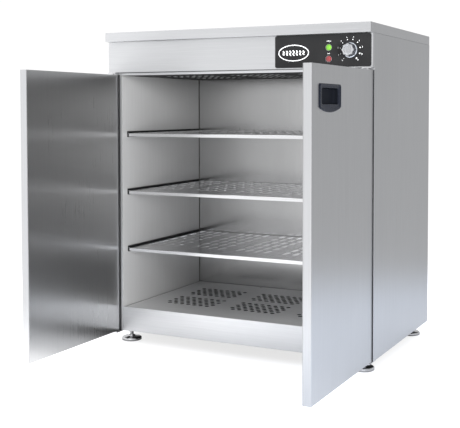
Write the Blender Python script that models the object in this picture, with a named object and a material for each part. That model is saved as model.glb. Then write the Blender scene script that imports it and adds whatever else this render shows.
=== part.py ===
"""A two-door heated holding cabinet, double-walled in sheet steel.

Sizes are in millimetres, in the cabinet's own axes: x from the left side, y from the fascia's front
face towards the back, z from the floor. part() turns them into metres, with the origin under the
middle of the cabinet and its open doors. The doors are drawn closed and swung open on their pivots.
"""

from math import cos, pi, radians, sin

import bmesh
import bpy
from mathutils import Matrix, Vector

# Overall
WIDTH = 750.0
HEIGHT = 840.0
DEPTH = 484.0  # fascia to back
SHEET = 1.2
GAP = 0.3  # between pieces that touch
WORKTOP_T = 24.0
WORKTOP_OVERHANG = 16.0
FOOT_H = 32.0  # floor to the underside of the body
BODY_TOP = HEIGHT - WORKTOP_T - GAP

# Carcass
CARCASS_Y = 13.0  # the plane that the doors close against
WALL_T = 32.0  # outer skin to liner
LINER_Z = 84.5
LINER_FLANGE = 12.0
LINER_BACK_Y = 431.3
RAIL_H = 66.0  # front base rail
RAIL_FLANGE = 15.0
FLOOR_Z = 97.0
CEILING_Z = 726.5
CEILING_FLANGE = 8.0
FASCIA_Z = 734.5
TOP_RAIL_Z = 744.0
WORKTOP_FLANGE = 15.0
WORKTOP_CORNER = 2.0
BACK_FLANGE = 20.0

# Insulation mats
MAT_SIDE = 20.0
MAT_BACK = 25.0
MAT_BACK_Z = 130.0
MAT_TOP = 25.0
MAT_TOP_FRONT = 45.0  # clear of the controls

# Shelves
SHELF_COUNT = 3
SHELF_PITCH = 157.0
SHELF_Z = 257.0  # top of the lowest shelf
SHELF_FRONT = 35.0
SHELF_BACK = 427.0
SHELF_MARGIN = 35.0
SHELF_LIP = 9.3
SHELF_GROUPS = 5  # of slots, side by side
GROUP_COLUMNS = 4
COLUMN_STEP = 27.5
GROUP_STEP = (GROUP_COLUMNS + 1) * COLUMN_STEP
COLUMN_SLOTS = 3  # one behind another
SHELF_SLOT_W = 13.0
SHELF_SLOT_L = 94.5
SHELF_SLOT_STEP = 109.0
SHELF_SLOT_FRONT = 106.5
LIP_NOTCH = 5.0  # the lips stop short of the corners
RUNNER_REACH = 4.7  # over and under the shelf's edge
RUNNER_ROOM = 3.3  # above the shelf
RUNNER_INSET = 1.0  # from the shelf's front and back

# Perforation: three fields across and two deep, a slot for each row of holes
FIELD_X = 198.0
FIELD_Y = 128.5
FIELD_W = 146.0
ROW_PITCH = 16.4
ROWS = 6
SLOT_W = 7.0
FIELD_MID_Y = 222.0

# Doors
DOOR_W = 372.0
DOOR_H = 696.5
DOOR_T = 20.0
DOOR_SIDE_GAP = 1.5
DOOR_FRONT = -10.0
DOOR_SKIN = 1.0
DOOR_INNER_T = 0.9
DOOR_EDGE = 1.0  # bevel of the outer corners
PIVOT_X = 12.9
PIVOT_Y = -0.5
OPEN_ANGLE = 90.0
HINGE_CHAMFER = 3.8
PIN_R = 3.9
PIN_HOLE_R = 4.0
PIN_L = 18.0
PIN_SOCKET_R = 5.0
PIN_SOCKET_L = 24.0
PLATE_T = 3.0
PLATE_X = (2.0, 26.0)
PLATE_FRONT = -8.0
LOWER_PLATE_BACK = 36.0
MAGNET_X = (328.0, 364.0)
MAGNET_Z = (62.0, 82.0)
MAGNET_T = 9.5

# Recessed handle, measured from the door's free edge and bottom edge
HANDLE_IN = 36.0
HANDLE_W = 120.5
HANDLE_TOP = 656.8
HANDLE_SIDE = 50.2
HANDLE_DROP = 9.8
HANDLE_PROUD = 2.0
CUP_W = 94.0
CUP_TOP = 647.5
CUP_H = 33.5
CUP_WALL = 1.6
CUP_DEPTH = 13.0
HANDLE_CORNER = 4.0

# Controls
PANEL_X = (497.0, 745.5)
PANEL_Z = (736.5, 815.4)
PANEL_T = 1.5
PANEL_CORNER = 5.0
LAMP_X = 639.2
LAMP_R = 8.0
LAMP_BODY_R = 5.8
LAMP_BACK = 26.0
LAMP_DOME = ((LAMP_R, -1.6), (6.6, -3.2), (3.6, -4.6), (0, -5.0))  # radius, distance from the panel
LAMP_Z = {"lamp_green": 783.6, "lamp_red": 756.1}
KNOB_X = 693.5
KNOB_Z = 776.0
KNOB_R = 17.0
KNOB_LOBES = 8
KNOB_LOBE_H = 0.9
KNOB_BORE = 10.0
KNOB_RINGS = ((1.0, 0), (0.97, -11.5), (0.90, -14), (0.80, -15.2))  # share of KNOB_R, distance from its base
SKIRT_R = 18.6
SKIRT_T = 3.0
SPINDLE_R = 3.0
SPINDLE_BACK = 12.0
THERMOSTAT = 20.0  # half its width
THERMOSTAT_BACK = 38.0

# Feet
FOOT_X = 37.2
FOOT_Y = (47.7, 439.9)
FOOT_R = 26.8
STEM_R = 5.0
STEM_TOP = 55.0
NUT_R = 9.2
NUT_Z = (22.5, 30.5)
FOOT_PROFILE = (  # radius and height, from the rim to the top of the stem
    (FOOT_R - 1.2, 0), (FOOT_R, 1.2), (FOOT_R, 6.2), (FOOT_R - 1.6, 8.4), (FOOT_R - 5, 9.8),
    (9.5, 10.6), (8.5, 13.5), (STEM_R, 14.2), (STEM_R, STEM_TOP),
)

# Heater and supply
ELEMENT_R = 4.2
ELEMENT_Z = 60.0
ELEMENT_RUNS = 6
ELEMENT_BEND = 24.0
ELEMENT_X = 110.0
ELEMENT_FRONT = 120.0
BRACKET_W = 24.0
BRACKET_Y = (90.0, 400.0)
GLAND_X = 650.0
GLAND_Z = 74.0
GLAND_REACH = 14.0
GLAND_THREAD_R = 8.0
GLAND_HEAD = ((13.0, 0), (13.0, 6.0), (10.0, 7.0))  # radius, distance from the back
GLAND_TIP_R = 9.0
GLAND_BACK = 14.0
CABLE_R = 4.6
TERMINALS = ((580.0, 446.0, 38.0), (628.0, 474.0, 64.0))

MM = 0.001
FREE_EDGE_Y = PIVOT_Y - (DOOR_W + DOOR_SIDE_GAP - PIVOT_X)
ORIGIN = Vector((WIDTH / 2, (FREE_EDGE_Y + DEPTH + GLAND_REACH) / 2, 0))

STEEL = ((0.62, 0.63, 0.64), 0.34, 1.0)
LINER = ((0.50, 0.51, 0.52), 0.38, 1.0)
BRIGHT = ((0.72, 0.73, 0.74), 0.22, 1.0)
WOOL = ((0.24, 0.22, 0.18), 0.95, 0.0)
CREAM = ((0.72, 0.68, 0.55), 0.6, 0.0)
BLACK = ((0.03, 0.03, 0.035), 0.45, 0.0)
CHROME = ((0.80, 0.80, 0.82), 0.12, 1.0)
ELEMENT = ((0.16, 0.15, 0.15), 0.5, 1.0)


def finish_mesh(bm):
    bmesh.ops.recalc_face_normals(bm, faces=bm.faces)
    mesh = bpy.data.meshes.new("solid")
    bm.to_mesh(mesh)
    bm.free()
    return mesh


def box(low, high):
    """A block between two corners."""
    low, high = Vector(low), Vector(high)
    bm = bmesh.new()
    bmesh.ops.create_cube(bm, size=1.0)
    size = high - low
    bmesh.ops.transform(bm, matrix=Matrix.Diagonal((*size, 1)), verts=bm.verts)
    bmesh.ops.translate(bm, vec=(low + high) / 2, verts=bm.verts)
    return finish_mesh(bm)


def prism(outline, axis, low, high):
    """An outline in the two other axes, extruded along axis from low to high."""
    index = "xyz".index(axis)
    bm = bmesh.new()
    points = []
    for a, b in outline:
        point = [a, b]
        point.insert(index, low)
        points.append(bm.verts.new(point))
    face = bm.faces.new(points)
    result = bmesh.ops.extrude_face_region(bm, geom=[face])
    move = Vector((0, 0, 0))
    move[index] = high - low
    verts = [v for v in result["geom"] if isinstance(v, bmesh.types.BMVert)]
    bmesh.ops.translate(bm, vec=move, verts=verts)
    return finish_mesh(bm)


def turned(profile, centre, axis, segments=32):
    """A solid of revolution: (radius, distance) pairs from one end of its axis to the other."""
    bm = bmesh.new()
    rings = []
    for radius, along in profile:
        if radius == 0:
            rings.append([bm.verts.new((0, 0, along))])
            continue
        angles = [2 * pi * i / segments for i in range(segments)]
        rings.append([bm.verts.new((radius * cos(a), radius * sin(a), along)) for a in angles])
    for lower, upper in zip(rings, rings[1:]):
        for i in range(segments):
            j = (i + 1) % segments
            corners = [lower[i % len(lower)], lower[j % len(lower)]]
            corners += [upper[j % len(upper)], upper[i % len(upper)]]
            bm.faces.new(list(dict.fromkeys(corners)))
    if len(rings[0]) > 1:
        bm.faces.new(rings[0])
    if len(rings[-1]) > 1:
        bm.faces.new(rings[-1])
    if axis == "y":
        bmesh.ops.rotate(bm, matrix=Matrix.Rotation(radians(-90), 3, "X"), verts=bm.verts)
    bmesh.ops.translate(bm, vec=centre, verts=bm.verts)
    return finish_mesh(bm)


def rod(radius, low, high, centre, axis, segments=24):
    """A plain cylinder between two distances along its axis."""
    return turned([(radius, low), (radius, high)], centre, axis, segments)


def merged(meshes):
    """Several separate solids in one mesh, to cut with at once."""
    bm = bmesh.new()
    for mesh in meshes:
        bm.from_mesh(mesh)
    return finish_mesh(bm)


def combined(base, tool, operation):
    """The Boolean of two meshes, worked out at once so that no helper object is left."""
    objects = [bpy.data.objects.new(label, mesh) for label, mesh in (("base", base), ("tool", tool))]
    for obj in objects:
        bpy.context.scene.collection.objects.link(obj)
    modifier = objects[0].modifiers.new("Boolean", "BOOLEAN")
    modifier.operation = operation
    modifier.solver = "EXACT"
    modifier.object = objects[1]
    graph = bpy.context.evaluated_depsgraph_get()
    mesh = bpy.data.meshes.new_from_object(objects[0].evaluated_get(graph))
    for obj in objects:
        bpy.data.objects.remove(obj)
    return mesh


def cut(base, *tools):
    return combined(base, merged(tools), "DIFFERENCE")


def joined(base, *tools):
    for tool in tools:
        base = combined(base, tool, "UNION")
    return base


def material(name, look):
    colour, roughness, metallic = look
    mat = bpy.data.materials.new(name)
    mat.use_nodes = True
    shader = mat.node_tree.nodes["Principled BSDF"]
    shader.inputs["Base Color"].default_value = (*colour, 1)
    shader.inputs["Roughness"].default_value = roughness
    shader.inputs["Metallic"].default_value = metallic
    return mat


def part(name, mesh, look, pivot=None, smooth=False):
    """One named piece. A piece with a pivot is placed by that empty."""
    centre = pivot["centre"] if pivot else (ORIGIN.x, ORIGIN.y, 0)
    mesh.transform(Matrix.Scale(MM, 4) @ Matrix.Translation(-Vector(centre)))
    mesh.materials.clear()
    mesh.materials.append(material(name, look))
    if smooth:
        mesh.shade_smooth()
        mesh.set_sharp_from_angle(angle=radians(35))
    obj = bpy.data.objects.new(name, mesh)
    bpy.context.scene.collection.objects.link(obj)
    if pivot:
        obj.parent = pivot
    return obj


def pivot_at(name, centre, turn=0.0):
    """An empty on a moving piece's axis."""
    empty = bpy.data.objects.new(name, None)
    bpy.context.scene.collection.objects.link(empty)
    empty["centre"] = centre
    empty.location = (Vector(centre) - ORIGIN) * MM
    empty.rotation_euler.z = radians(turn)
    return empty


def mirrored(points, side):
    """Points of the left half, or their mirror image on the right."""
    if side == "left":
        return [tuple(p) for p in points]
    return [(WIDTH - p[0], *p[1:]) for p in points]


def side_box(side, low, high):
    a, b = mirrored([low, high], side)
    return box([min(p) for p in zip(a, b)], [max(p) for p in zip(a, b)])


def rounded_rect(low, high, radius, steps=3):
    """A rectangle's outline with round corners."""
    (x0, z0), (x1, z1) = low, high
    centres = ((x1 - radius, z1 - radius), (x0 + radius, z1 - radius))
    centres += ((x0 + radius, z0 + radius), (x1 - radius, z0 + radius))
    points = []
    for quarter, (cx, cz) in enumerate(centres):
        for step in range(steps + 1):
            angle = pi / 2 * (quarter + step / steps)
            points.append((cx + radius * cos(angle), cz + radius * sin(angle)))
    return points


def tray(low, high, sheet, open_side):
    """A sheet pan: a block hollowed from one side, given as -z, +z, or +y."""
    inner_low = [a + sheet for a in low]
    inner_high = [b - sheet for b in high]
    index = "xyz".index(open_side[1])
    if open_side[0] == "-":
        inner_low[index] = low[index] - 1
    else:
        inner_high[index] = high[index] + 1
    return cut(box(low, high), box(inner_low, inner_high))


def perforation(z):
    """The slots of a perforated plate, through the height z."""
    slots = []
    for across in (-1, 0, 1):
        for deep in (-0.5, 0.5):
            x = WIDTH / 2 + across * FIELD_X
            y = FIELD_MID_Y + deep * FIELD_Y
            for row in range(ROWS):
                row_y = y + (row - (ROWS - 1) / 2) * ROW_PITCH
                low = (x - FIELD_W / 2, row_y - SLOT_W / 2, z - 4)
                slots.append(box(low, (x + FIELD_W / 2, row_y + SLOT_W / 2, z + 4)))
    return slots


def make_worktop():
    low = (0, -WORKTOP_OVERHANG, HEIGHT - WORKTOP_T)
    high = (WIDTH, DEPTH, HEIGHT)
    shell = prism(rounded_rect(low[:2], high[:2], WORKTOP_CORNER), "z", low[2], high[2])
    inside = box([a + SHEET for a in low], [b - SHEET for b in high])
    under = (low[0] + WORKTOP_FLANGE, low[1] + WORKTOP_FLANGE, low[2] - 1)
    hole = box(under, (high[0] - WORKTOP_FLANGE, high[1] - WORKTOP_FLANGE, low[2] + 2 * SHEET))
    part("worktop", cut(cut(shell, inside), hole), STEEL)
    board_low = [a + SHEET + GAP for a in low]
    board_high = [b - SHEET - GAP for b in high]
    part("worktop_core", box(board_low, board_high), CREAM)


def make_sides():
    for side in ("left", "right"):
        outline = [(0, CARCASS_Y), (WALL_T, CARCASS_Y), (WALL_T, CARCASS_Y + SHEET)]
        outline += [(SHEET, CARCASS_Y + SHEET), (SHEET, DEPTH - SHEET), (BACK_FLANGE, DEPTH - SHEET)]
        outline += [(BACK_FLANGE, DEPTH), (0, DEPTH)]
        part(f"side_{side}", prism(mirrored(outline, side), "z", FOOT_H, BODY_TOP), STEEL)

        top = CEILING_Z - GAP
        liner = [(WALL_T, LINER_Z), (WALL_T + LINER_FLANGE, LINER_Z), (WALL_T + LINER_FLANGE, LINER_Z + SHEET)]
        liner += [(WALL_T + SHEET, LINER_Z + SHEET), (WALL_T + SHEET, top), (WALL_T, top)]
        front = CARCASS_Y + SHEET + GAP
        part(f"liner_{side}", prism(mirrored(liner, side), "y", front, LINER_BACK_Y - GAP), LINER)

        low = (WALL_T - GAP - MAT_SIDE, front, FOOT_H + 3 * SHEET)
        mat = side_box(side, low, (WALL_T - GAP, DEPTH - SHEET - GAP, BODY_TOP - GAP))
        part(f"insulation_{side}", mat, WOOL)


def make_back():
    inset = BACK_FLANGE + GAP
    panel = box((inset, DEPTH - SHEET, FOOT_H + GAP), (WIDTH - inset, DEPTH, BODY_TOP))
    hole = rod(GLAND_THREAD_R + GAP, DEPTH - 5, DEPTH + 5, (GLAND_X, 0, GLAND_Z), "y")
    part("back_panel", cut(panel, hole), STEEL)
    back = LINER_BACK_Y + SHEET
    liner = box((WALL_T, LINER_BACK_Y, LINER_Z), (WIDTH - WALL_T, back, CEILING_Z - GAP))
    part("liner_back", liner, LINER)
    low = (WALL_T + GAP, back + GAP, MAT_BACK_Z)
    mat = box(low, (WIDTH - WALL_T - GAP, back + GAP + MAT_BACK, BODY_TOP - GAP))
    part("insulation_back", mat, WOOL)


def make_base():
    edge = WALL_T + GAP
    low = FOOT_H + GAP
    back = CARCASS_Y + SHEET
    rail = [(CARCASS_Y, low), (CARCASS_Y + RAIL_FLANGE, low), (CARCASS_Y + RAIL_FLANGE, low + SHEET)]
    rail += [(back, low + SHEET), (back, FOOT_H + RAIL_H), (CARCASS_Y, FOOT_H + RAIL_H)]
    part("base_rail", prism(rail, "x", edge, WIDTH - edge), STEEL)

    pan_z = low + SHEET + GAP
    pan = box((SHEET + GAP, back + GAP, pan_z), (WIDTH - SHEET - GAP, DEPTH - SHEET - GAP, pan_z + SHEET))
    holes = [rod(STEM_R + 1, pan_z - 5, pan_z + 5, (x, y, 0), "z") for x, y in foot_places().values()]
    part("base_pan", cut(pan, *holes), STEEL)


def make_top():
    edge = WALL_T + GAP
    back = CARCASS_Y + SHEET
    rail = [(CARCASS_Y, CEILING_Z), (back, CEILING_Z), (back, TOP_RAIL_Z - SHEET)]
    rail += [(CARCASS_Y + RAIL_FLANGE, TOP_RAIL_Z - SHEET), (CARCASS_Y + RAIL_FLANGE, TOP_RAIL_Z)]
    rail += [(CARCASS_Y, TOP_RAIL_Z)]
    part("top_rail", prism(rail, "x", edge, WIDTH - edge), STEEL)

    high = (WIDTH - WALL_T, LINER_BACK_Y + SHEET - GAP, CEILING_Z + CEILING_FLANGE)
    ceiling = tray((WALL_T, back + GAP, CEILING_Z), high, SHEET, "+z")
    part("ceiling_plate", cut(ceiling, *perforation(CEILING_Z)), LINER)
    low = (edge, MAT_TOP_FRONT, CEILING_Z + CEILING_FLANGE + GAP)
    part("insulation_top", box(low, (WIDTH - edge, LINER_BACK_Y, low[2] + MAT_TOP)), WOOL)


def make_fascia():
    low = (0, 0, FASCIA_Z)
    fascia = tray(low, (WIDTH, CARCASS_Y - GAP, BODY_TOP), SHEET, "+y")
    holes = [rod(LAMP_BODY_R + 0.5, -4, 6, (LAMP_X, 0, z), "y") for z in LAMP_Z.values()]
    holes.append(rod(SPINDLE_R + 2, -4, 6, (KNOB_X, 0, KNOB_Z), "y"))
    part("fascia", cut(fascia, *holes), STEEL)
    outline = rounded_rect((PANEL_X[0], PANEL_Z[0]), (PANEL_X[1], PANEL_Z[1]), PANEL_CORNER, 4)
    panel = prism(outline, "y", -GAP - PANEL_T, -GAP)
    part("control_panel", cut(panel, *[mesh.copy() for mesh in holes]), BLACK)


def make_floor():
    front = CARCASS_Y + SHEET + 2 * GAP
    edge = WALL_T + SHEET + GAP
    low = (edge, front, LINER_Z + SHEET + GAP)
    cover = tray(low, (WIDTH - edge, LINER_BACK_Y - GAP, FLOOR_Z), SHEET, "-z")
    part("floor_plate", cut(cover, *perforation(FLOOR_Z)), LINER)


def shelf_slots(z):
    """The slots of a shelf, through the height z."""
    slots = []
    for group in range(SHELF_GROUPS):
        for column in range(GROUP_COLUMNS):
            x = WIDTH / 2 + (group - (SHELF_GROUPS - 1) / 2) * GROUP_STEP
            x += (column - (GROUP_COLUMNS - 1) / 2) * COLUMN_STEP
            for number in range(COLUMN_SLOTS):
                y = SHELF_SLOT_FRONT + number * SHELF_SLOT_STEP
                high = (x + SHELF_SLOT_W / 2, y + SHELF_SLOT_L, z + 4)
                slots.append(box((x - SHELF_SLOT_W / 2, y, z - 4), high))
    return slots


def make_shelves():
    for number in range(1, SHELF_COUNT + 1):
        top = SHELF_Z + (number - 1) * SHELF_PITCH
        slide = pivot_at(f"shelf_{number}_slide", (WIDTH / 2, SHELF_FRONT, top))
        low = (SHELF_MARGIN, SHELF_FRONT, top - SHELF_LIP)
        plate = tray(low, (WIDTH - SHELF_MARGIN, SHELF_BACK, top), SHEET, "-z")
        corners = []
        for side in ("left", "right"):
            for y in (SHELF_FRONT, SHELF_BACK - LIP_NOTCH):
                low = (SHELF_MARGIN - 1, y - 1, top - SHELF_LIP - 1)
                high = (SHELF_MARGIN + LIP_NOTCH, y + LIP_NOTCH + 1, top - SHEET)
                corners.append(side_box(side, low, high))
        part(f"shelf_{number}", cut(cut(plate, *shelf_slots(top)), *corners), BRIGHT, slide)
        make_runners(number, top)


def make_runners(number, shelf_top):
    """A channel on each side liner, with the shelf's folded edge in it."""
    wall = WALL_T + SHEET + GAP
    inner = SHELF_MARGIN + RUNNER_REACH
    low = shelf_top - SHELF_LIP - GAP - SHEET
    high = shelf_top + RUNNER_ROOM + SHEET
    outline = [(wall, low), (inner, low), (inner, low + SHEET), (wall + SHEET, low + SHEET)]
    outline += [(wall + SHEET, high - SHEET), (inner, high - SHEET), (inner, high), (wall, high)]
    for side in ("left", "right"):
        ends = (SHELF_FRONT + RUNNER_INSET, SHELF_BACK - RUNNER_INSET)
        part(f"shelf_runner_{side}_{number}", prism(mirrored(outline, side), "y", *ends), BLACK)


def handle_outline():
    """The handle's plate: straight top and sides, a bowed lower edge, round corners."""
    right = DOOR_SIDE_GAP + DOOR_W - HANDLE_IN
    left = right - HANDLE_W
    top = FOOT_H + HANDLE_TOP
    low = top - HANDLE_SIDE
    mid = (left + right) / 2
    corner = HANDLE_CORNER
    points = []
    for turn, x in ((0, right - corner), (pi / 2, left + corner)):
        for step in range(4):
            angle = turn + pi / 2 * step / 3
            points.append((x + corner * cos(angle), top - corner + corner * sin(angle)))
    steps = 12
    for step in range(steps + 1):
        share = -cos(pi * step / steps)
        points.append((mid + share * HANDLE_W / 2, low - HANDLE_DROP * (1 - share * share)))
    return points


def cup_box(grow, depth, front):
    """The handle's recess, grown on its four sides, from front to depth inside the door."""
    mid = DOOR_SIDE_GAP + DOOR_W - HANDLE_IN - HANDLE_W / 2
    top = FOOT_H + CUP_TOP + grow
    low = FOOT_H + CUP_TOP - CUP_H - grow
    half = CUP_W / 2 + grow
    return (mid - half, front, low), (mid + half, DOOR_FRONT + depth, top)


def make_door(side):
    """Shell, inner panel, core and handle, drawn closed and parented to the open pivot."""
    turn = -OPEN_ANGLE if side == "left" else OPEN_ANGLE
    centre = mirrored([(PIVOT_X, PIVOT_Y, FOOT_H)], side)[0]
    pivot = pivot_at(f"door_{side}_pivot", centre, turn)
    hinge = DOOR_SIDE_GAP
    free = hinge + DOOR_W
    back = DOOR_FRONT + DOOR_T
    shell_back = back - DOOR_INNER_T - GAP
    top = FOOT_H + DOOR_H

    edge = DOOR_EDGE
    outline = [(hinge + edge, DOOR_FRONT), (free - edge, DOOR_FRONT), (free, DOOR_FRONT + edge)]
    outline += [(free, shell_back), (hinge + HINGE_CHAMFER, shell_back)]
    outline += [(hinge, shell_back - HINGE_CHAMFER), (hinge, DOOR_FRONT + edge)]
    shell = prism(mirrored(outline, side), "z", FOOT_H, top)
    low = (hinge + DOOR_SKIN, DOOR_FRONT + DOOR_SKIN, FOOT_H + DOOR_SKIN)
    cavity = side_box(side, low, (free - DOOR_SKIN, back + 1, top - DOOR_SKIN))
    window = side_box(side, *cup_box(GAP + CUP_WALL, 3, DOOR_FRONT - 1))
    pin = mirrored([(PIVOT_X, PIVOT_Y, 0)], side)[0]
    pin_hole = rod(PIN_HOLE_R, FOOT_H - 2, top + 2, pin, "z", 32)
    part(f"door_{side}_shell", cut(cut(shell, cavity), window, pin_hole), STEEL, pivot)

    low = (hinge + HINGE_CHAMFER + edge, back - DOOR_INNER_T, FOOT_H + GAP)
    part(f"door_{side}_inner", side_box(side, low, (free - GAP, back, top - GAP)), LINER, pivot)

    margin = DOOR_SKIN + GAP
    low = (hinge + margin, DOOR_FRONT + margin, FOOT_H + margin)
    core = side_box(side, low, (free - margin, shell_back - HINGE_CHAMFER, top - margin))
    sockets = [rod(PIN_SOCKET_R, low, low + PIN_SOCKET_L, pin, "z") for low in (FOOT_H, top - PIN_SOCKET_L)]
    pocket = side_box(side, *cup_box(2 * GAP + CUP_WALL, CUP_DEPTH + GAP, DOOR_FRONT - 1))
    part(f"door_{side}_core", cut(core, pocket, *sockets), WOOL, pivot)

    plate = prism(mirrored(handle_outline(), side), "y", DOOR_FRONT - GAP - HANDLE_PROUD, DOOR_FRONT - GAP)
    cup_low, cup_high = cup_box(CUP_WALL, CUP_DEPTH, DOOR_FRONT - GAP - 1)
    cup = side_box(side, cup_low, cup_high)
    room = side_box(side, *cup_box(0, CUP_DEPTH - CUP_WALL, DOOR_FRONT - 5))
    part(f"door_{side}_handle", cut(joined(plate, cup), room), BLACK, pivot)


def make_hinges():
    """A pivot plate above and below each door, each with its pin."""
    for side in ("left", "right"):
        pin = mirrored([(PIVOT_X, PIVOT_Y, 0)], side)[0]
        door_top = FOOT_H + DOOR_H
        high = (PLATE_X[1], CARCASS_Y - GAP, FASCIA_Z - GAP)
        upper = side_box(side, (PLATE_X[0], PLATE_FRONT, high[2] - PLATE_T), high)
        stub = rod(PIN_R, door_top - PIN_L, high[2] - PLATE_T / 2, pin, "z", 32)
        part(f"hinge_upper_{side}", joined(upper, stub), BRIGHT)
        high = (PLATE_X[1], LOWER_PLATE_BACK, FOOT_H - GAP)
        lower = side_box(side, (PLATE_X[0], PLATE_FRONT, high[2] - PLATE_T), high)
        stub = rod(PIN_R, high[2] - PLATE_T / 2, FOOT_H + PIN_L, pin, "z", 32)
        part(f"hinge_lower_{side}", joined(lower, stub), BRIGHT)


def make_magnets():
    """Holding magnets behind the base rail, one for each door's free corner."""
    for side in ("left", "right"):
        low = (MAGNET_X[0], CARCASS_Y + SHEET + GAP, MAGNET_Z[0])
        high = (MAGNET_X[1], low[1] + MAGNET_T, MAGNET_Z[1])
        part(f"door_magnet_{side}", side_box(side, low, high), BLACK)


def foot_places():
    places = {}
    for row, y in zip(("front", "rear"), FOOT_Y):
        for side, x in (("left", FOOT_X), ("right", WIDTH - FOOT_X)):
            places[f"{row}_{side}"] = (x, y)
    return places


def make_feet():
    """Screwed levelling feet with lock nuts."""
    for place, (x, y) in foot_places().items():
        slide = pivot_at(f"foot_{place}_slide", (x, y, 0))
        part(f"foot_{place}", turned(FOOT_PROFILE, (x, y, 0), "z"), BRIGHT, slide, smooth=True)
        nut = turned([(NUT_R, NUT_Z[0]), (NUT_R, NUT_Z[1])], (x, y, 0), "z", 6)
        bore = rod(STEM_R + 0.3, NUT_Z[0] - 1, NUT_Z[1] + 1, (x, y, 0), "z")
        part(f"foot_nut_{place}", cut(nut, bore), BRIGHT)


def scalloped(rings, radius, centre, segments=64):
    """A fluted knob: rings of (share of the radius, distance along y) from its base to its face."""
    bm = bmesh.new()
    loops = []
    for share, along in rings:
        loop = []
        for i in range(segments):
            angle = 2 * pi * i / segments
            reach = share * (radius - KNOB_LOBE_H * (1 - cos(KNOB_LOBES * angle)))
            offset = Vector((reach * cos(angle), along, reach * sin(angle)))
            loop.append(bm.verts.new(Vector(centre) + offset))
        loops.append(loop)
    for lower, upper in zip(loops, loops[1:]):
        for i in range(segments):
            j = (i + 1) % segments
            bm.faces.new((lower[i], lower[j], upper[j], upper[i]))
    bm.faces.new(loops[0])
    bm.faces.new(loops[-1])
    return finish_mesh(bm)


def make_controls():
    panel_face = -GAP - PANEL_T
    place = (KNOB_X, 0, KNOB_Z)
    knob = pivot_at("knob_axis", place)
    seat = panel_face - GAP
    profile = [(SKIRT_R, seat), (SKIRT_R, seat - SKIRT_T / 2), (SKIRT_R - 1.6, seat - SKIRT_T)]
    bore = rod(SPINDLE_R + 0.2, seat + 1, seat - SKIRT_T - 1, place, "y")
    part("knob_skirt", cut(turned(profile, place, "y", 48), bore), CHROME, knob, smooth=True)

    cap = seat - SKIRT_T - GAP
    bore = rod(SPINDLE_R + 0.2, 1, -KNOB_BORE, (KNOB_X, cap, KNOB_Z), "y")
    part("knob", cut(scalloped(KNOB_RINGS, KNOB_R, (KNOB_X, cap, KNOB_Z)), bore), CHROME, knob, smooth=True)
    spindle = rod(SPINDLE_R, cap - KNOB_BORE + 0.5, SPINDLE_BACK, place, "y")
    part("knob_spindle", spindle, BRIGHT, knob)

    low = (KNOB_X - THERMOSTAT, SHEET + GAP, KNOB_Z - THERMOSTAT)
    body = box(low, (KNOB_X + THERMOSTAT, THERMOSTAT_BACK, KNOB_Z + THERMOSTAT))
    socket = rod(SPINDLE_R + 0.2, -2, SPINDLE_BACK + 2, place, "y")
    part("thermostat", cut(body, socket), BLACK)

    colours = {"lamp_green": ((0.25, 0.75, 0.10), 0.2, 0.0), "lamp_red": ((0.70, 0.06, 0.05), 0.2, 0.0)}
    for name, z in LAMP_Z.items():
        face = panel_face - GAP
        profile = [(LAMP_BODY_R, LAMP_BACK), (LAMP_BODY_R, face), (LAMP_R, face)]
        profile += [(radius, face + along) for radius, along in LAMP_DOME]
        part(name, turned(profile, (LAMP_X, 0, z), "y"), colours[name], smooth=True)


def element_path():
    """A folded tubular heater: straight runs joined by half-round bends at alternate ends."""
    rear = ELEMENT_FRONT + (ELEMENT_RUNS - 1) * 2 * ELEMENT_BEND
    points = []
    for run in range(ELEMENT_RUNS):
        y = rear - run * 2 * ELEMENT_BEND
        ends = (ELEMENT_X, WIDTH - ELEMENT_X)
        way = 1 if run % 2 == 0 else -1
        points += [(x, y) for x in ends[::way]]
        turn_x = points[-1][0]
        if run < ELEMENT_RUNS - 1:
            for step in range(1, 6):
                angle = pi * step / 6
                points.append((turn_x + way * ELEMENT_BEND * sin(angle), y - ELEMENT_BEND * (1 - cos(angle))))
    return points


def make_heater():
    curve = bpy.data.curves.new("heating_element", "CURVE")
    curve.dimensions = "3D"
    spline = curve.splines.new("POLY")
    path = element_path()
    spline.points.add(len(path) - 1)
    for point, (x, y) in zip(spline.points, path):
        point.co = (*((Vector((x, y, ELEMENT_Z)) - ORIGIN) * MM), 1)
    curve.bevel_depth = ELEMENT_R * MM
    curve.bevel_resolution = 2
    curve.use_fill_caps = True
    curve.materials.append(material("heating_element", ELEMENT))
    obj = bpy.data.objects.new("heating_element", curve)
    bpy.context.scene.collection.objects.link(obj)

    low = ((WIDTH - BRACKET_W) / 2, BRACKET_Y[0], FOOT_H + 3 * SHEET)
    high = ((WIDTH + BRACKET_W) / 2, BRACKET_Y[1], ELEMENT_Z - ELEMENT_R - GAP)
    hollow = box((low[0] - 1, low[1] + SHEET, low[2] - 1), (high[0] + 1, high[1] - SHEET, high[2] - SHEET))
    part("element_bracket", cut(box(low, high), hollow), STEEL)


def make_supply():
    """Terminal block and the flanged gland that a mains lead passes through."""
    part("terminal_block", box(*TERMINALS), CREAM)
    face = DEPTH + GAP
    end = DEPTH + GLAND_REACH
    profile = [(GLAND_THREAD_R, face - GLAND_BACK), (GLAND_THREAD_R, face)]
    profile += [(radius, face + along) for radius, along in GLAND_HEAD]
    profile.append((GLAND_TIP_R, end))
    bore = rod(CABLE_R, face - GLAND_BACK - 1, end + 1, (GLAND_X, 0, GLAND_Z), "y")
    part("cable_gland", cut(turned(profile, (GLAND_X, 0, GLAND_Z), "y"), bore), BLACK)


def main():
    for obj in list(bpy.data.objects):
        bpy.data.objects.remove(obj)
    make_worktop()
    make_sides()
    make_back()
    make_base()
    make_top()
    make_fascia()
    make_floor()
    make_shelves()
    make_door("left")
    make_door("right")
    make_hinges()
    make_magnets()
    make_feet()
    make_controls()
    make_heater()
    make_supply()


main()
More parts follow.
